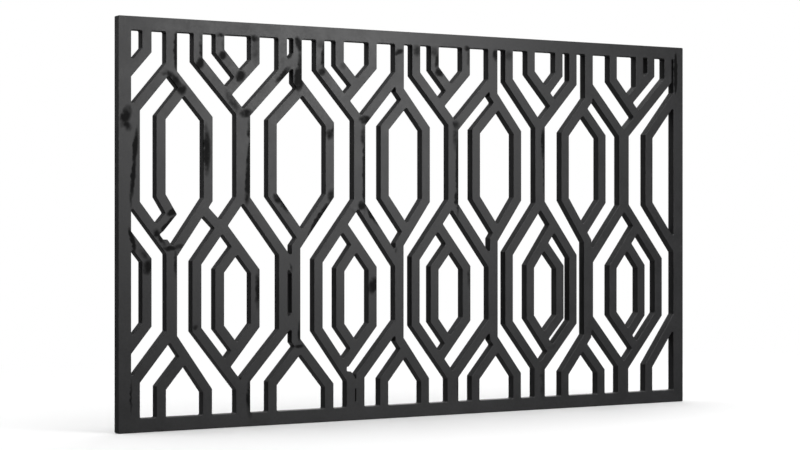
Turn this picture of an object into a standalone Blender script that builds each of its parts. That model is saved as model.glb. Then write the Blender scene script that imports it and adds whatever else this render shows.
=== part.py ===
"""A decorative metal screen: a lattice of square steel tube welded flush into a frame of wider tube.

Metres, +Z up. The origin is the middle of the bottom edge, halfway through the depth.
+X runs to the right as seen from the front, and the front faces -Y.
"""

import bmesh
import bpy
from mathutils import Vector

MM = 0.001

# Driving sizes.
WIDTH = 2040 * MM
HEIGHT = 1200 * MM
DEPTH = 30 * MM
FRAME_FACE = 40 * MM
BAR_FACE = 30 * MM
BITE_FACE = 15 * MM

COATING_COLOUR = (0.055, 0.055, 0.058, 1.0)
COATING_ROUGHNESS = 0.5

# The setting-out of each bar along its middle, as shares of the way between the middles of
# the frame's tubes: across from 0 at the left tube to 1 at the right, and down from 0 at the
# top tube to 1 at the bottom. Three numbers are an upright: across, upper end and lower end.
# Two numbers are a point where the bar turns, or ends on another bar or on the frame.
# A bar slants straight from each entry to the next.
SETTING_OUT = {
    # Bars that weave the whole height of the screen, from left to right.
    "weave_01": ((0.071, 0, 0.101), (0.016, 0.212, 0.448), (0.0715, 0.57, 0.772), (0.016, 0.889, 1)),
    "weave_02": ((0.074, 0, 0.12), (0.1305, 0.232, 0.437), (0.074, 0.576, 0.784), (0.1295, 0.921, 1)),
    "weave_03": ((0.1145, 0, 0.084), (0.183, 0.214, 0.434), (0.1125, 0.597, 0.766), (0.183, 0.918, 1)),
    "weave_04": ((0.2525, 0, 0.105), (0.1915, 0.216, 0.435), (0.2535, 0.575, 0.776), (0.1915, 0.897, 1)),
    "weave_05": ((0.2775, 0, 0.128), (0.3325, 0.237, 0.424), (0.275, 0.558, 0.802), (0.3315, 0.922, 1)),
    "weave_06": ((0.316, 0, 0.092), (0.3815, 0.22, 0.438), (0.313, 0.595, 0.775), (0.369, 0.909, 1)),
    "weave_07": ((0.454, 0, 0.097), (0.387, 0.232, 0.449), (0.454, 0.608, 0.761), (0.3855, 0.901, 1)),
    "weave_08": ((0.4555, 0, 0.14), (0.5025, 0.242, 0.435), (0.455, 0.553, 0.808), (0.501, 0.919, 1)),
    "weave_09": ((0.485, 0, 0.095), (0.551, 0.225, 0.437), (0.484, 0.591, 0.768), (0.5495, 0.915, 1)),
    "weave_10": ((0.6255, 0, 0.105), (0.555, 0.237, 0.449), (0.626, 0.613, 0.766), (0.555, 0.912, 1)),
    "weave_11": ((0.6285, 0, 0.143), (0.674, 0.245, 0.429), (0.629, 0.542, 0.814), (0.6735, 0.917, 1)),
    "weave_12": ((0.658, 0, 0.101), (0.716, 0.226, 0.444), (0.658, 0.58, 0.772), (0.7145, 0.898, 1)),
    "weave_13": ((0.783, 0, 0.1), (0.72, 0.222, 0.44), (0.783, 0.59, 0.775), (0.72, 0.901, 1)),
    "weave_14": ((0.8145, 0, 0.146), (0.7675, 0.245, 0.429), (0.8125, 0.547, 0.816), (0.767, 0.919, 1)),
    "weave_15": ((0.8155, 0, 0.106), (0.884, 0.243, 0.449), (0.816, 0.603, 0.766), (0.8815, 0.903, 1)),
    "weave_16": ((0.9785, 0, 0.08), (0.889, 0.241, 0.447), (0.958, 0.602, 0.76), (0.888, 0.909, 1)),
    # The other sides of the tall hexagons in the upper row.
    "upper_ring_1": ((0.0925, 0.156), (0.056, 0.232, 0.428), (0.072, 0.473), (0.0485, 0.52)),
    "upper_ring_2": ((0.286, 0.146), (0.2355, 0.235, 0.424), (0.285, 0.534)),
    "upper_ring_3": ((0.4675, 0.166), (0.4285, 0.242, 0.427), (0.4685, 0.52)),
    "upper_ring_4": ((0.638, 0.165), (0.5955, 0.245, 0.427), (0.636, 0.523)),
    "upper_ring_5": ((0.8025, 0.171), (0.8415, 0.25, 0.434), (0.803, 0.522)),
    "upper_ring_6": ((1, 0.115), (0.9385, 0.245, 0.44), (1, 0.582)),
    # The small hexagons in the lower row and the channels beside them.
    "lower_ring_0": ((0, 0.516), (0.034, 0.589, 0.75), (0, 0.822)),
    "lower_ring_1_right": ((0.153, 0.503), (0.207, 0.62, 0.759), (0.1575, 0.863)),
    "lower_ring_1_left": ((0.178, 0.556), (0.149, 0.618, 0.762), (0.177, 0.822)),
    "lower_ring_2_right": ((0.3545, 0.499), (0.407, 0.617, 0.766), (0.3545, 0.877)),
    "lower_ring_2_left": ((0.3785, 0.553), (0.3505, 0.619, 0.766), (0.3775, 0.828)),
    "lower_ring_3_right": ((0.5245, 0.499), (0.5775, 0.618, 0.758), (0.527, 0.865)),
    "lower_ring_3_left": ((0.5485, 0.553), (0.5185, 0.618, 0.76), (0.5465, 0.823)),
    "lower_ring_4_left": ((0.7455, 0.501), (0.699, 0.617, 0.758), (0.7415, 0.857)),
    "lower_ring_4_right": ((0.725, 0.552), (0.757, 0.62, 0.759), (0.726, 0.819)),
    "lower_ring_5_left": ((0.9145, 0.504), (0.864, 0.621, 0.755), (0.9125, 0.857)),
    "lower_ring_5_right": ((0.8925, 0.554), (0.922, 0.621, 0.758), (0.8955, 0.817)),
    # The half hexagons that stand on the bottom tube.
    "foot_1": ((0.0935, 0.833), (0.0565, 0.909, 1)),
    "foot_2": ((0.2825, 0.818), (0.2355, 0.91, 1)),
    "foot_3": ((0.466, 0.834), (0.4275, 0.915, 1)),
    "foot_4": ((0.637, 0.833), (0.5945, 0.92, 1)),
    "foot_5": ((0.8025, 0.84), (0.8395, 0.918, 1)),
    "foot_6": ((1, 0.759), (0.938, 0.909, 1)),
    # The short bars that hang from the top tube.
    "stub_0": ((0.034, 0, 0.066), (0, 0.133)),
    "stub_1_short": ((0.1495, 0, 0.06), (0.183, 0.125)),
    "stub_1_long": ((0.207, 0, 0.082), (0.159, 0.168)),
    "stub_2_short": ((0.3495, 0, 0.077), (0.3795, 0.133)),
    "stub_2_long": ((0.407, 0, 0.081), (0.358, 0.173)),
    "stub_3_short": ((0.519, 0, 0.078), (0.549, 0.137)),
    "stub_3_long": ((0.5765, 0, 0.086), (0.527, 0.178)),
    "stub_4_long": ((0.7005, 0, 0.077), (0.7475, 0.168)),
    "stub_4_short": ((0.755, 0, 0.078), (0.7285, 0.131)),
    "stub_5_long": ((0.8645, 0, 0.087), (0.9165, 0.191)),
    "stub_5_upright": ((0.9185, 0, 0.107),),
    "stub_5_short": ((0.9425, 0, 0.066), (0.8955, 0.148)),
    # Short links that close the slots between neighbouring bars.
    "link_upper_1": ((0.122, 0.459), (0.1505, 0.508)),
    "link_top_2": ((0.2525, 0.105), (0.2775, 0.06)),
    "link_high_2": ((0.2535, 0.575), (0.275, 0.623)),
    "link_low_2": ((0.2535, 0.776), (0.275, 0.734)),
    "link_foot_2": ((0.369, 0.921), (0.3855, 0.921)),
    "link_sole_2": ((0.369, 0.981), (0.3855, 0.981)),
}

# Bites out of the bars' edges where an opening ends, set out along their middles like the bars.
BITES = {
    "bite_upper_1": ((0.057, 0.5208), (0.0647, 0.5378)),
    "bite_lower_2": ((0.366, 0.875, 0.888),),
}
THROUGH = 1.5  # a bite's depth as a share of the screen's, so that it passes both faces


def clear_scene():
    for existing in list(bpy.data.objects):
        bpy.data.objects.remove(existing)


def coating():
    """Dark satin powder coating, the only finish on the screen."""
    material = bpy.data.materials.new("powder_coating")
    material.use_nodes = True
    shader = material.node_tree.nodes["Principled BSDF"]
    shader.inputs["Base Color"].default_value = COATING_COLOUR
    shader.inputs["Roughness"].default_value = COATING_ROUGHNESS
    shader.inputs["Metallic"].default_value = 0.0
    return material


def placed(across, down):
    """A position of the setting-out, as a point of the front view."""
    reach = WIDTH - FRAME_FACE
    drop = HEIGHT - FRAME_FACE
    return Vector((across * reach - reach / 2, HEIGHT - FRAME_FACE / 2 - down * drop))


def middle_line(entries):
    """The points along the middle of a bar, from its setting-out."""
    points = []
    for across, *levels in entries:
        points += [placed(across, level) for level in levels]
    return points


def mitred_outline(points, width):
    """The outline of a bar of this width along the points, with mitred turns and square ends."""
    ways = [(after - before).normalized() for before, after in zip(points, points[1:])]
    sides = [Vector((-way.y, way.x)) for way in ways]
    near, far = [], []
    for point, left, right in zip(points, [sides[0], *sides], [*sides, sides[-1]]):
        mitre = (left + right).normalized()
        reach = mitre * (width / 2) / mitre.dot(left)
        near.append(point - reach)
        far.append(point + reach)
    return near + far[::-1]


def board(name, faces, collection):
    """A flat piece as deep as the screen, from front-view faces that may share corners."""
    mesh = bpy.data.meshes.new(name)
    shape = bmesh.new()
    corners = {}
    for face in faces:
        for point in face:
            corner = tuple(point)
            if corner not in corners:
                corners[corner] = shape.verts.new((point.x, -DEPTH / 2, point.y))
        shape.faces.new([corners[tuple(point)] for point in face])
    grown = bmesh.ops.extrude_face_region(shape, geom=shape.faces[:])
    moved = [item for item in grown["geom"] if isinstance(item, bmesh.types.BMVert)]
    bmesh.ops.translate(shape, verts=moved, vec=(0, DEPTH, 0))
    bmesh.ops.recalc_face_normals(shape, faces=shape.faces[:])
    shape.to_mesh(mesh)
    shape.free()
    piece = bpy.data.objects.new(name, mesh)
    collection.objects.link(piece)
    return piece


def frame_corners(inset):
    """The corners of the screen's outline drawn in by this much, in order round the front view."""
    side = WIDTH / 2 - inset
    low = inset
    high = HEIGHT - inset
    return [Vector((-side, low)), Vector((side, low)), Vector((side, high)), Vector((-side, high))]


def frame_faces():
    """The frame's four tubes in the front view, mitred at the corners."""
    outer = frame_corners(0)
    inner = frame_corners(FRAME_FACE)
    following = [1, 2, 3, 0]
    return [
        (outer[corner], outer[after], inner[after], inner[corner])
        for corner, after in enumerate(following)
    ]


def guides(name, setting_out, width, depth_share=1):
    """Every entry of the setting-out as a bar of this width, in a collection of hidden guides."""
    bars = bpy.data.collections.new(name)
    bpy.context.scene.collection.children.link(bars)
    for bar_name, entries in setting_out.items():
        bar = board(bar_name, [mitred_outline(middle_line(entries), width)], bars)
        bar.scale.y = depth_share
        bar.hide_render = True
        bar.display_type = "WIRE"
    return bars


def join(screen, name, operation, bars):
    """Adds the guides to the screen, or cuts them out of it."""
    joint = screen.modifiers.new(name, "BOOLEAN")
    joint.operation = operation
    joint.operand_type = "COLLECTION"
    joint.collection = bars
    joint.solver = "EXACT"


def lattice_screen():
    """The frame with the bars welded into it, as the one solid that it is."""
    screen = board("lattice_screen", frame_faces(), bpy.context.scene.collection)
    screen.data.materials.append(coating())
    join(screen, "welded_bars", "UNION", guides("lattice_bars", SETTING_OUT, BAR_FACE))
    join(screen, "bitten_edges", "DIFFERENCE", guides("bites", BITES, BITE_FACE, THROUGH))
    return screen


clear_scene()
lattice_screen()
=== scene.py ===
"""The finished looks of a decorative metal screen: a lattice of square tube in a frame, powder coated.

Metres, +Z up. The front faces -Y and +X runs to the right as seen from the front. The bars'
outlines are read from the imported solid; their rounded edges, dressed corners and coating are made here.
"""

import math

import bpy
import numpy as np
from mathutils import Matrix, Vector
from mathutils.geometry import delaunay_2d_cdt


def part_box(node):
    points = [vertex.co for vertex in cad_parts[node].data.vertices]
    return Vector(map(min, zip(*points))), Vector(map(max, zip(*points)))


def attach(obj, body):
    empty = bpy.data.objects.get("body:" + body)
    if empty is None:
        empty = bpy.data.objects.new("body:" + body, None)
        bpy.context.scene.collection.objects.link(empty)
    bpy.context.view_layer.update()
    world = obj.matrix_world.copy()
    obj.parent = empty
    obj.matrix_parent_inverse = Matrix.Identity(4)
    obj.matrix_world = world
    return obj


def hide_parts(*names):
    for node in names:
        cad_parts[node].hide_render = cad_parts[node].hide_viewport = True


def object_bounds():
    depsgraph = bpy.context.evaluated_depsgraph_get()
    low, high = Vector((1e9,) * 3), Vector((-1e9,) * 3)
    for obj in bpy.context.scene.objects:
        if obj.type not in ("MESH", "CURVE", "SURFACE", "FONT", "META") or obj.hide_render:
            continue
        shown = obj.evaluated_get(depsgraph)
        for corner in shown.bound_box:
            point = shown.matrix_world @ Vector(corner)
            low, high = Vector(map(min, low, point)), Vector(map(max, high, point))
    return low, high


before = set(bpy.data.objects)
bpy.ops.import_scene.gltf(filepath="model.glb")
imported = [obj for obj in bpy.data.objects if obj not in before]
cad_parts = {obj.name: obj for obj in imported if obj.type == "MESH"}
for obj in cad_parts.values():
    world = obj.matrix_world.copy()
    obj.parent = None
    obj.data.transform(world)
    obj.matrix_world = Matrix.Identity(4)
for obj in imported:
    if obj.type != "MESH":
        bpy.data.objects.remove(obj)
cad_low, cad_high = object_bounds()

# Driving sizes, in metres.
EDGE_RADIUS = 0.0015       # rounding of the tube's own long edges
FILLET_RADIUS = 0.0040     # weld and coating in the inside corners
DRESSED_RADIUS = 0.0035    # outside corners, ground after welding
ROOM_SHARE = 0.45          # most of a short side that one rounded corner may take
ARC_STEPS = 4              # facets in each rounded corner and each rounded edge
LEAST_TURN = math.radians(0.4)     # a smaller turn isn't a corner
LEAST_SIDE = 0.0005        # a shorter side is left out
SAME_PLACE = 5             # decimals of a metre at which two corners are one
SAME_POINT = 1e-9          # the distance at which the triangulation takes two points as one
INSIDE_ALL = 1             # the triangulation's own number for filling all within the edges

# The camera, fitted to the four corners of the screen in the photograph.
CAMERA_PLACE = (-3.053, -5.165, 0.5985)
CAMERA_TURN = math.radians(-29.924)
LENS_MM = 86.05
SENSOR_MM = 36.0

# The finish. The clouds, speckles, peel and mottling are noise of these scales, in 1/metre.
CHARCOAL = (0.035, 0.035, 0.0365, 1.0)
COATING_ROUGHNESS = 0.42
CLOUDS = 14.0
SPECKLES = 170.0
ORANGE_PEEL = 420.0
MOTTLING = 60.0
LEAST_TONE = 0.55          # the coating's tone without the clouds and speckles
CLOUD_TONE = 0.40
SPECKLE_TONE = 0.50
SHEEN_CHANGE = 0.16        # how much clouds and speckles change the roughness
PEEL_STRENGTH = 0.25
PEEL_HEIGHT = 0.0003
COLOUR_A = 6               # the places of a Mix node's two colours among its sockets
COLOUR_B = 7
COLOUR_RESULT = 2          # and that of its colour among its outputs
# Painted shade: a near-black, rough, almost sheenless coat laid over the coating where the marks lie.
PAINTED_SHADE_COLOUR = (0.004, 0.004, 0.004, 1.0)
PAINTED_SHADE_ROUGHNESS = 0.8
PAINTED_SHADE_SHEEN = 0.1

# Patches of painted shade on the front, where the coating's sheen falls away, by their lean in degrees
# clockwise.
# Each is a soft oval on its own bar: the place of its middle across and up, half its width and height, and
# its depth.
PAINTED_SHADE_MARKS = {
    0: (
        # The left stile and the bars beside it.
        (-0.981, 0.680, 0.0055, 0.040, 1.3),
        (-0.930, 0.478, 0.018, 0.024, 1.9),
        (-0.981, 0.105, 0.004, 0.052, 1.6),
        # The first hexagon.
        (-0.840, 1.107, 0.009, 0.056, 2.8),
        (-0.872, 1.038, 0.018, 0.008, 1.2),
        (-0.743, 0.815, 0.013, 0.070, 2.2),
        (-0.746, 0.874, 0.008, 0.030, 1.3),
        (-0.860, 0.531, 0.024, 0.008, 2.2),
        (-0.843, 0.485, 0.006, 0.042, 1.6),
        # Between the first hexagon and the second.
        (-0.761, 1.112, 0.008, 0.048, 1.5),
        (-0.764, 1.074, 0.013, 0.020, 2.3),
        (-0.700, 1.160, 0.015, 0.007, 1.7),
        (-0.691, 1.125, 0.006, 0.030, 0.8),
        (-0.585, 1.118, 0.015, 0.040, 1.0),
        (-0.618, 0.931, 0.024, 0.015, 1.9),
        (-0.605, 0.878, 0.009, 0.038, 1.6),
        (-0.612, 0.675, 0.010, 0.018, 1.2),
        (-0.780, 0.299, 0.010, 0.009, 1.4),
        (-0.578, 0.405, 0.010, 0.058, 1.8),
        (-0.603, 0.084, 0.013, 0.056, 2.3),
        # The second hexagon.
        (-0.495, 1.085, 0.009, 0.030, 0.6),
        (-0.437, 1.088, 0.009, 0.036, 1.9),
        (-0.337, 0.874, 0.016, 0.016, 2.0),
        (-0.438, 0.275, 0.006, 0.032, 1.8),
        (-0.439, 0.233, 0.016, 0.006, 2.0),
        # Between the second hexagon and the third.
        (-0.366, 1.146, 0.016, 0.013, 1.0),
        (-0.357, 1.108, 0.010, 0.048, 2.0),
        (-0.290, 1.085, 0.014, 0.012, 1.0),
        (-0.211, 0.923, 0.024, 0.014, 2.1),
        (-0.220, 0.872, 0.010, 0.038, 1.6),
        (-0.2155, 0.760, 0.007, 0.125, 2.6),
        (-0.1035, 0.522, 0.004, 0.012, 1.2),
        # From the middle to the right.
        (-0.027, 1.143, 0.017, 0.018, 1.6),
        (0.037, 1.142, 0.015, 0.020, 1.3),
        (0.053, 1.078, 0.017, 0.015, 2.3),
        (0.157, 1.158, 0.013, 0.010, 2.0),
        (0.162, 1.130, 0.007, 0.034, 1.2),
        (0.264, 1.141, 0.012, 0.020, 2.0),
        (0.316, 1.143, 0.016, 0.018, 1.2),
        (0.116, 0.914, 0.015, 0.017, 1.5),
        (0.115, 0.868, 0.012, 0.042, 1.4),
        (0.123, 0.765, 0.009, 0.128, 3.0),
        (0.119, 0.682, 0.009, 0.026, 2.4),
        (0.163, 0.430, 0.006, 0.034, 1.2),
        (0.1215, 0.085, 0.004, 0.034, 1.5),
        (0.448, 0.862, 0.008, 0.052, 2.4),
        (0.4505, 0.775, 0.004, 0.085, 1.5),
        (0.447, 0.088, 0.013, 0.054, 1.2),
        (0.989, 1.112, 0.0075, 0.066, 4.0),
    ),
    5: (
        (-0.968, 0.822, 0.008, 0.060, 2.4),
        (-0.9745, 0.738, 0.0075, 0.070, 2.4),
        (-0.439, 1.042, 0.017, 0.040, 3.0),
        (-0.605, 0.770, 0.012, 0.115, 2.8),
        (0.045, 1.115, 0.009, 0.028, 1.9),
    ),
    20: (
        (-0.997, 0.912, 0.016, 0.034, 2.2),
        (-0.692, 1.098, 0.013, 0.015, 2.2),
        (-0.588, 1.154, 0.016, 0.012, 1.9),
        (-0.326, 0.885, 0.008, 0.020, 1.5),
        (-0.330, 0.688, 0.013, 0.028, 1.6),
        (-0.183, 0.413, 0.018, 0.028, 2.6),
    ),
    35: (
        (-0.634, 1.041, 0.015, 0.019, 2.4),
        (-0.371, 0.617, 0.012, 0.064, 3.0),
        (-0.508, 0.676, 0.022, 0.014, 2.1),
        (-0.258, 0.643, 0.018, 0.008, 0.7),
    ),
    45: (
        (-0.863, 0.600, 0.011, 0.044, 2.6),
        (-0.494, 1.049, 0.010, 0.034, 2.2),
        (-0.470, 1.104, 0.005, 0.016, 1.2),
    ),
    -15: (
        (-0.977, 0.556, 0.008, 0.036, 2.6),
        (-0.850, 0.635, 0.022, 0.011, 2.4),
        (-0.832, 0.535, 0.022, 0.009, 1.4),
        (-0.440, 1.142, 0.012, 0.026, 2.5),
        (-0.467, 0.470, 0.005, 0.014, 1.5),
        (-0.224, 0.658, 0.016, 0.015, 2.2),
        (-0.092, 1.136, 0.018, 0.009, 2.2),
        (0.484, 0.202, 0.022, 0.009, 0.7),
    ),
    -35: (
        (-0.996, 0.888, 0.014, 0.024, 1.8),
        (-0.900, 0.573, 0.011, 0.016, 1.9),
        (-0.888, 0.555, 0.008, 0.028, 1.6),
        (-0.940, 0.513, 0.010, 0.020, 1.3),
        (-0.659, 0.962, 0.014, 0.042, 1.4),
        (-0.494, 0.661, 0.010, 0.032, 1.8),
        (-0.362, 1.063, 0.015, 0.013, 2.0),
        (-0.190, 0.630, 0.010, 0.040, 2.0),
    ),
    -45: (
        (-0.845, 1.020, 0.013, 0.042, 2.2),
        (-0.823, 0.994, 0.018, 0.018, 2.1),
    ),
}
MARK_ROUND = 0.014         # how far a mark runs round onto the side of its bar
SPREAD = 1.2               # how far the marks' soft rims reach, in their half sizes
RAGGED = 0.012             # how far the marks' rims wander
THINNEST = 0.3             # the share of a mark's depth that the mottling leaves everywhere
MOTTLED = 1.4              # the share that it adds where its noise is 1
FULL_DEPTH = 2.0           # the depth at which a mark covers the coating most
MOST_COVER = 0.9

# The studio.
WHITE = (1.0, 1.0, 1.0, 1.0)
BACKDROP = 1.0
SKY_GLOW = 0.13
CEILING_POWER = 2.6
CEILING_SPREAD = math.radians(80)
FLOOR_WHITE = (0.90, 0.90, 0.90, 1.0)
FADE_FROM = 1.0
FADE_TO = 2.6
FLOOR_REACH = 14.0
FLOOR_GAP = 0.0005
DARK_HORIZON = 0.05        # the height of a direction below which the surroundings cast nothing
FULL_GLOW = 0.40           # and the height from which they cast their full glow
KEY_SIZE = 1.0
KEY_AIM = (0.3, 0, 0.7)
SCREEN_MIDDLE = (0, 0, 0.6)


def unit(vectors):
    """Each vector divided by its own length."""
    return vectors / np.linalg.norm(vectors, axis=-1, keepdims=True)


def turned(vectors, angles):
    """Each plane vector turned anticlockwise by its angle."""
    cosine, sine = np.cos(angles), np.sin(angles)
    across, up = vectors[..., 0], vectors[..., 1]
    return np.stack([across * cosine - up * sine, across * sine + up * cosine], axis=-1)


def front_triangles(node, front):
    """The solid's merged corners as seen from the front, and the triangles of its front face."""
    mesh = node.data
    mesh.calc_loop_triangles()
    corners = np.empty(len(mesh.vertices) * 3)
    mesh.vertices.foreach_get("co", corners)
    corners, merged = np.unique(corners.reshape(-1, 3).round(SAME_PLACE), axis=0, return_inverse=True)
    triangles = np.empty(len(mesh.loop_triangles) * 3, np.int32)
    mesh.loop_triangles.foreach_get("vertices", triangles)
    triangles = merged.reshape(-1)[triangles].reshape(-1, 3)
    on_front = np.isclose(corners[:, 1], front, atol=EDGE_RADIUS / 10)
    return corners[:, [0, 2]], triangles[on_front[triangles].all(axis=1)]


def outlines(corners, triangles):
    """The closed outlines round these triangles, each an array of corners with metal on its left.

    A side is on an outline where no other triangle runs along it the opposite way. Each corner
    takes the lowest number on its outline as a label, then all outlines are walked side by side.
    """
    sides = np.concatenate([triangles[:, pair] for pair in ([0, 1], [1, 2], [2, 0])])
    code = sides[:, 0] * len(corners) + sides[:, 1]
    reverse = sides[:, 1] * len(corners) + sides[:, 0]
    rim = sides[~np.isin(code, reverse)]
    following = np.arange(len(corners))
    following[rim[:, 0]] = rim[:, 1]
    label, jump = np.arange(len(corners)), following.copy()
    for _ in range(len(corners).bit_length()):
        label = np.minimum(label, label[jump])
        jump = jump[jump]
    starts, lengths = np.unique(label[rim[:, 0]], return_counts=True)
    walk = [starts]
    for _ in range(lengths.max() - 1):
        walk.append(following[walk[-1]])
    walk = np.stack(walk, axis=1)
    return [corners[row[:length]] for row, length in zip(walk, lengths)]


def true_corners(outline):
    """The outline without its tiny sides and the points that lie along a straight side."""
    outline = outline[np.linalg.norm(np.roll(outline, -1, axis=0) - outline, axis=1) > LEAST_SIDE]
    way_in = unit(outline - np.roll(outline, 1, axis=0))
    way_out = unit(np.roll(outline, -1, axis=0) - outline)
    cross = way_in[:, 0] * way_out[:, 1] - way_in[:, 1] * way_out[:, 0]
    return outline[np.abs(cross) > math.sin(LEAST_TURN)]


def rounded(outline):
    """The outline with each corner an arc, and the outward normal at every point.

    An arc of radius r through a turn t starts r tan(t/2) before the corner. Its points are the
    arc's centre plus r times the normal, which turns evenly from one side's to the next.
    """
    ahead = np.roll(outline, -1, axis=0) - outline
    long_out = np.linalg.norm(ahead, axis=1)
    long_in = np.roll(long_out, 1)
    way_out = unit(ahead)
    way_in = np.roll(way_out, 1, axis=0)
    cross = way_in[:, 0] * way_out[:, 1] - way_in[:, 1] * way_out[:, 0]
    turn = np.arctan2(cross, (way_in * way_out).sum(axis=1))
    bend = np.sign(turn)
    steepness = np.tan(np.abs(turn) / 2)
    wanted = np.where(bend > 0, DRESSED_RADIUS, FILLET_RADIUS)
    reach = np.minimum(wanted * steepness, ROOM_SHARE * np.minimum(long_in, long_out))
    radius = (bend * reach / steepness)[:, None]
    normal_in = turned(way_in, -math.pi / 2)
    centre = outline - way_in * reach[:, None] - normal_in * radius
    share = np.linspace(0, 1, ARC_STEPS + 1)
    normals = turned(normal_in[:, None, :], turn[:, None] * share)
    points = centre[:, None, :] + normals * radius[:, None, :]
    return points.reshape(-1, 2), normals.reshape(-1, 2)


def tube_section(depth):
    """The tube's section from the front face over both rounded edges to the back face.

    Each row is inset, depth from the front, and the sine and cosine of the normal's angle from
    straight ahead: r (1 - sin a) in, and r (1 - cos a) back, with the wall between the two arcs.
    """
    angle = np.linspace(0, math.pi / 2, ARC_STEPS + 1)
    angle = np.concatenate([angle, angle + math.pi / 2])
    inset = EDGE_RADIUS * (1 - np.sin(angle))
    back = EDGE_RADIUS * (1 - np.cos(angle))
    back[ARC_STEPS + 1:] += depth - 2 * EDGE_RADIUS
    return inset, back, np.sin(angle), np.cos(angle)


def wall_grid(points, normals, depth):
    """The section carried along an outline: a grid of places and normals, outline by section."""
    inset, back, sine, cosine = tube_section(depth)
    plan = points[:, None, :] - normals[:, None, :] * inset[:, None]
    outward = normals[:, None, :] * sine[:, None]
    places = np.stack([plan[..., 0], np.broadcast_to(back, plan.shape[:2]), plan[..., 1]], axis=-1)
    facing = np.stack([outward[..., 0], np.broadcast_to(-cosine, plan.shape[:2]), outward[..., 1]], axis=-1)
    return places, facing


def wall_faces(count, rows, first):
    """The four-sided faces of a closed grid of this many points by rows, numbered from first."""
    here = first + np.arange(count)[:, None] * rows + np.arange(rows - 1)
    there = first + np.roll(np.arange(count), -1)[:, None] * rows + np.arange(rows - 1)
    return np.stack([here, here + 1, there + 1, there], axis=-1).reshape(-1, 4)


def on_metal(places, starts, ends):
    """Whether each place is on metal: a line from it to the right crosses an odd number of rim sides."""
    across, up = places[:, None, 0], places[:, None, 1]
    spans = (starts[:, 1] > up) != (ends[:, 1] > up)
    rise = np.where(spans, ends[:, 1] - starts[:, 1], 1)
    met = starts[:, 0] + (up - starts[:, 1]) * (ends[:, 0] - starts[:, 0]) / rise
    return (spans & (met > across)).sum(axis=1) % 2 == 1


def face_triangles(rims, numbers):
    """Triangles that fill the flat face between all the outlines' rims, by the mesh's numbers."""
    starts = np.concatenate(rims)
    ends = np.concatenate([np.roll(rim, -1, axis=0) for rim in rims])
    lasts = np.cumsum([len(rim) for rim in rims])
    after = np.arange(1, len(starts) + 1)
    after[lasts - 1] = np.concatenate([[0], lasts[:-1]])
    edges = [tuple(edge) for edge in np.stack([np.arange(len(starts)), after], axis=1).tolist()]
    found = delaunay_2d_cdt([Vector(point) for point in starts], edges, [], INSIDE_ALL, SAME_POINT)
    source = np.array([originals[0] for originals in found[3]])
    triangles = source[np.array(found[2])]
    kept = on_metal(starts[triangles].mean(axis=1), starts, ends)
    return numbers[triangles[kept]]


def welded_lattice(node):
    """The whole screen as one welded piece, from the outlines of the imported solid."""
    low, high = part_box(node.name)
    depth = high.y - low.y
    corners, triangles = front_triangles(node, low.y)
    rows = 2 * (ARC_STEPS + 1)
    places, facings, faces, rims, front_numbers = [], [], [], [], []
    first = 0
    for outline in outlines(corners, triangles):
        points, normals = rounded(true_corners(outline))
        place, facing = wall_grid(points, normals, depth)
        place[..., 1] += low.y
        places.append(place.reshape(-1, 3))
        facings.append(facing.reshape(-1, 3))
        faces += wall_faces(len(points), rows, first).tolist()
        rims.append(place[:, 0, [0, 2]])
        front_numbers.append(first + np.arange(len(points)) * rows)
        first += place.shape[0] * rows
    front_face = face_triangles(rims, np.concatenate(front_numbers))
    back_face = front_face[:, ::-1] + rows - 1
    faces += front_face.tolist() + back_face.tolist()
    mesh = bpy.data.meshes.new("welded_lattice")
    mesh.from_pydata(np.concatenate(places), [], faces)
    mesh.shade_smooth()
    mesh.normals_split_custom_set_from_vertices(np.concatenate(facings))
    piece = bpy.data.objects.new("welded_lattice", mesh)
    bpy.context.scene.collection.objects.link(piece)
    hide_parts(node.name)
    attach(piece, "root")
    return piece


class Number:
    """A number that a shader node gives. Arithmetic on it adds the nodes that work it out."""

    def __init__(self, shading, socket):
        self.shading = shading
        self.socket = socket

    def math(self, operation, *others):
        """The operation on this number and the others after it."""
        numbers = dict(enumerate((self, *others)))
        return self.shading.node("ShaderNodeMath", {"operation": operation}, numbers)

    def __add__(self, other):
        return self.math("ADD", other)

    def __sub__(self, other):
        return self.math("SUBTRACT", other)

    def __mul__(self, other):
        return self.math("MULTIPLY", other)

    __radd__ = __add__
    __rmul__ = __mul__


class Shading:
    """The nodes of a material or a world, all added by one method."""

    def __init__(self, owner):
        self.owner = owner
        owner.use_nodes = True
        self.tree = owner.node_tree
        self.tree.nodes.clear()

    def node(self, kind, settings, sockets, output=0):
        """Adds a node, sets it, gives its sockets values or links, and returns one output."""
        made = self.tree.nodes.new(kind)
        for name, value in settings.items():
            setattr(made, name, value)
        for name, value in sockets.items():
            if isinstance(value, Number):
                self.tree.links.new(value.socket, made.inputs[name])
            else:
                made.inputs[name].default_value = value
        return Number(self, made.outputs[output])

    def vector(self, operation, *vectors, output="Vector"):
        """Vector maths on one, two or three vectors."""
        return self.node("ShaderNodeVectorMath", {"operation": operation}, dict(enumerate(vectors)), output)

    def noise(self, place, scale, detail, output="Fac"):
        sockets = {"Vector": place, "Scale": scale, "Detail": detail}
        return self.node("ShaderNodeTexNoise", {}, sockets, output)

    def finished(self, surface, kind="ShaderNodeOutputMaterial"):
        """Links the surface to the output, and returns the material or world."""
        out = self.tree.nodes.new(kind)
        self.tree.links.new(surface.socket, out.inputs["Surface"])
        return self.owner


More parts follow.
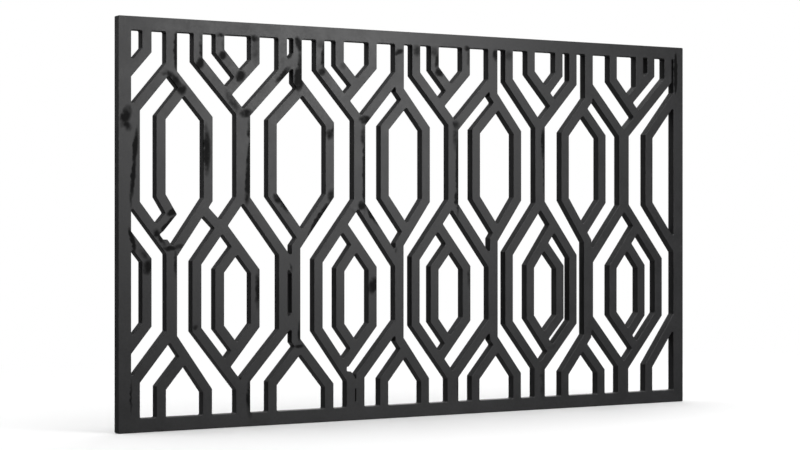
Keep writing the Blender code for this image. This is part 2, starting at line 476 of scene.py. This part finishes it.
def painted_shade_cover(shading, place):
    """How much of the coating the painted shade covers: dark marks where the sheen falls away.

    A mark's depth at a place is its full depth x (1 - x^2 - y^2 - z^2), measured from its middle in
    its own half sizes. The deepest mark counts, and its depth turns smoothly into cover. Noise
    moves the place a little, so the rims are ragged.
    """
    wander = shading.noise(place, MOTTLING, detail=3.0, output="Color")
    wander = shading.vector("MULTIPLY_ADD", wander, (RAGGED,) * 3, (-RAGGED / 2,) * 3)
    ragged = shading.vector("ADD", place, wander)
    deepest = 0.0
    for lean, marks in PAINTED_SHADE_MARKS.items():
        lean = math.radians(lean)
        upright = shading.node(
            "ShaderNodeMapping", {"vector_type": "TEXTURE"}, {"Vector": ragged, "Rotation": (0, lean, 0)}
        )
        for across, up, wide, high, depth in marks:
            wide, high = wide * SPREAD, high * SPREAD
            across, up = turned(np.array((across, up)), lean)
            middle = (-across / wide, -cad_low.y / MARK_ROUND, -up / high)
            own = shading.vector("MULTIPLY_ADD", upright, (1 / wide, 1 / MARK_ROUND, 1 / high), middle)
            reach = shading.vector("DOT_PRODUCT", own, own, output="Value")
            deepest = reach.math("MULTIPLY_ADD", -depth, depth).math("MAXIMUM", deepest)
    mottled = deepest * (THINNEST + MOTTLED * shading.noise(place, MOTTLING, detail=3.0))
    return shading.node(
        "ShaderNodeMapRange",
        {"interpolation_type": "SMOOTHSTEP"},
        {"Value": mottled, "From Max": FULL_DEPTH, "To Max": MOST_COVER},
    )


def powder_coating():
    """Charcoal powder coating: a fine orange-peel skin, a cloudy sheen and dark patches of painted shade.
    """
    shading = Shading(bpy.data.materials.new("charcoal_powder_coating"))
    place = shading.node("ShaderNodeTexCoord", {}, {}, "Object")
    cloud = shading.noise(place, CLOUDS, detail=4.0)
    speckle = shading.noise(place, SPECKLES, detail=2.0)
    peel = shading.noise(place, ORANGE_PEEL, detail=1.0)
    tone = LEAST_TONE + cloud * CLOUD_TONE + speckle * SPECKLE_TONE
    colour = shading.node(
        "ShaderNodeMix",
        {"data_type": "RGBA", "blend_type": "MULTIPLY"},
        {"Factor": 1.0, COLOUR_A: CHARCOAL, COLOUR_B: tone},
        COLOUR_RESULT,
    )
    bump = {"Strength": PEEL_STRENGTH, "Distance": PEEL_HEIGHT, "Height": peel}
    coating = shading.node(
        "ShaderNodeBsdfPrincipled",
        {},
        {
            "Base Color": colour,
            "Roughness": COATING_ROUGHNESS + (cloud - 0.5) * SHEEN_CHANGE + (speckle - 0.5) * SHEEN_CHANGE,
            "Normal": shading.node("ShaderNodeBump", {}, bump),
        },
    )
    # A dark, nearly sheenless coat that paints shade where the sheen falls away.
    painted_shade_coat = shading.node(
        "ShaderNodeBsdfPrincipled",
        {},
        {"Base Color": PAINTED_SHADE_COLOUR, "Roughness": PAINTED_SHADE_ROUGHNESS, "Specular IOR Level": PAINTED_SHADE_SHEEN},
    )
    # Where the painted shade lies over the coating.
    cover = painted_shade_cover(shading, place)
    return shading.finished(shading.node("ShaderNodeMixShader", {}, {0: cover, 1: coating, 2: painted_shade_coat}))


def floor_white():
    """The matt pale floor, which fades into the white backdrop away from the screen's foot."""
    shading = Shading(bpy.data.materials.new("floor_white"))
    place = shading.node("ShaderNodeTexCoord", {}, {}, "Object")
    half_width = (cad_high.x, 0, 0)
    across_floor = shading.vector("MULTIPLY", place, (1, 1, 0))
    beside = shading.vector("MAXIMUM", shading.vector("ABSOLUTE", across_floor), half_width)
    away = shading.vector("LENGTH", shading.vector("SUBTRACT", beside, half_width), output="Value")
    fade = shading.node(
        "ShaderNodeMapRange",
        {"interpolation_type": "SMOOTHSTEP"},
        {"Value": away, "From Min": FADE_FROM, "From Max": FADE_TO},
    )
    matt = shading.node("ShaderNodeBsdfPrincipled", {}, {"Base Color": FLOOR_WHITE, "Roughness": 1.0})
    backdrop = shading.node("ShaderNodeEmission", {}, {"Strength": BACKDROP})
    return shading.finished(shading.node("ShaderNodeMixShader", {}, {0: fade, 1: matt, 2: backdrop}))


def pale_floor():
    """A square floor just under the screen's bottom edge. It isn't seen in the coating's sheen."""
    mesh = bpy.data.meshes.new("pale_floor")
    reach, up = FLOOR_REACH, cad_low.z - FLOOR_GAP
    corners = [(-reach, -reach, up), (reach, -reach, up), (reach, reach, up), (-reach, reach, up)]
    mesh.from_pydata(corners, [], [(0, 1, 2, 3)])
    floor = bpy.data.objects.new("pale_floor", mesh)
    floor.visible_diffuse = False
    floor.visible_glossy = False
    mesh.materials.append(floor_white())
    bpy.context.scene.collection.objects.link(floor)


def softbox(name, place, aim, width, height, radiance):
    """A rectangular light at a place, turned towards the aim. Its power is radiance x area x pi."""
    light = bpy.data.lights.new(name, "AREA")
    light.shape = "RECTANGLE"
    light.size = width
    light.size_y = height
    light.energy = radiance * width * height * math.pi
    box = bpy.data.objects.new(name, light)
    box.location = place
    box.rotation_euler = (Vector(aim) - Vector(place)).to_track_quat("-Z", "Y").to_euler()
    box.visible_camera = False
    bpy.context.scene.collection.objects.link(box)


def ceiling():
    """Wide even light from straight above, which keeps the floor white."""
    light = bpy.data.lights.new("ceiling", "SUN")
    light.energy = CEILING_POWER
    light.angle = CEILING_SPREAD
    bpy.context.scene.collection.objects.link(bpy.data.objects.new("ceiling", light))


def surroundings():
    """A white backdrop to the camera. What it casts is faint, with a dark horizon."""
    shading = Shading(bpy.data.worlds.new("surroundings"))
    direction = shading.node("ShaderNodeTexCoord", {}, {}, "Generated")
    height = shading.node("ShaderNodeSeparateXYZ", {}, {0: direction}, "Z")
    glow = shading.node(
        "ShaderNodeMapRange",
        {"interpolation_type": "SMOOTHSTEP"},
        {
            "Value": height.math("ABSOLUTE"),
            "From Min": DARK_HORIZON,
            "From Max": FULL_GLOW,
            "To Max": SKY_GLOW,
        },
    )
    cast = shading.node("ShaderNodeBackground", {}, {"Color": WHITE, "Strength": glow})
    backdrop = shading.node("ShaderNodeBackground", {}, {"Color": WHITE, "Strength": BACKDROP})
    seen = shading.node("ShaderNodeLightPath", {}, {}, "Is Camera Ray")
    mixed = shading.node("ShaderNodeMixShader", {}, {0: seen, 1: cast, 2: backdrop})
    bpy.context.scene.world = shading.finished(mixed, "ShaderNodeOutputWorld")


def studio():
    """Softboxes before the screen, brightest high up, one from the left behind it, and a fill."""
    surroundings()
    ceiling()
    softbox("key", (1.4, -3.2, 1.8), KEY_AIM, KEY_SIZE, KEY_SIZE, 9.0)
    softbox("key_low", (1.4, -3.2, 0.8), KEY_AIM, KEY_SIZE, KEY_SIZE, 4.2)
    softbox("key_left", (0.4, -3.2, 1.5), KEY_AIM, KEY_SIZE, KEY_SIZE, 4.0)
    softbox("side", (-3.5, 1.5, 2.2), SCREEN_MIDDLE, 2.0, 1.0, 4.0)
    softbox("fill_back", (3.4, 3.8, 2.4), SCREEN_MIDDLE, 4.0, 3.0, 1.5)


def camera():
    """Level, with its horizon at half the picture's height, from the front and to the left."""
    data = bpy.data.cameras.new("camera")
    data.sensor_width = SENSOR_MM
    data.lens = LENS_MM
    seen_from = bpy.data.objects.new("camera", data)
    seen_from.location = CAMERA_PLACE
    seen_from.rotation_euler = (math.pi / 2, 0, CAMERA_TURN)
    bpy.context.scene.collection.objects.link(seen_from)
    bpy.context.scene.camera = seen_from


camera()
screen = welded_lattice(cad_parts["lattice_screen"])
screen.data.materials.append(powder_coating())
pale_floor()
studio()
bpy.context.scene.view_settings.view_transform = "Standard"
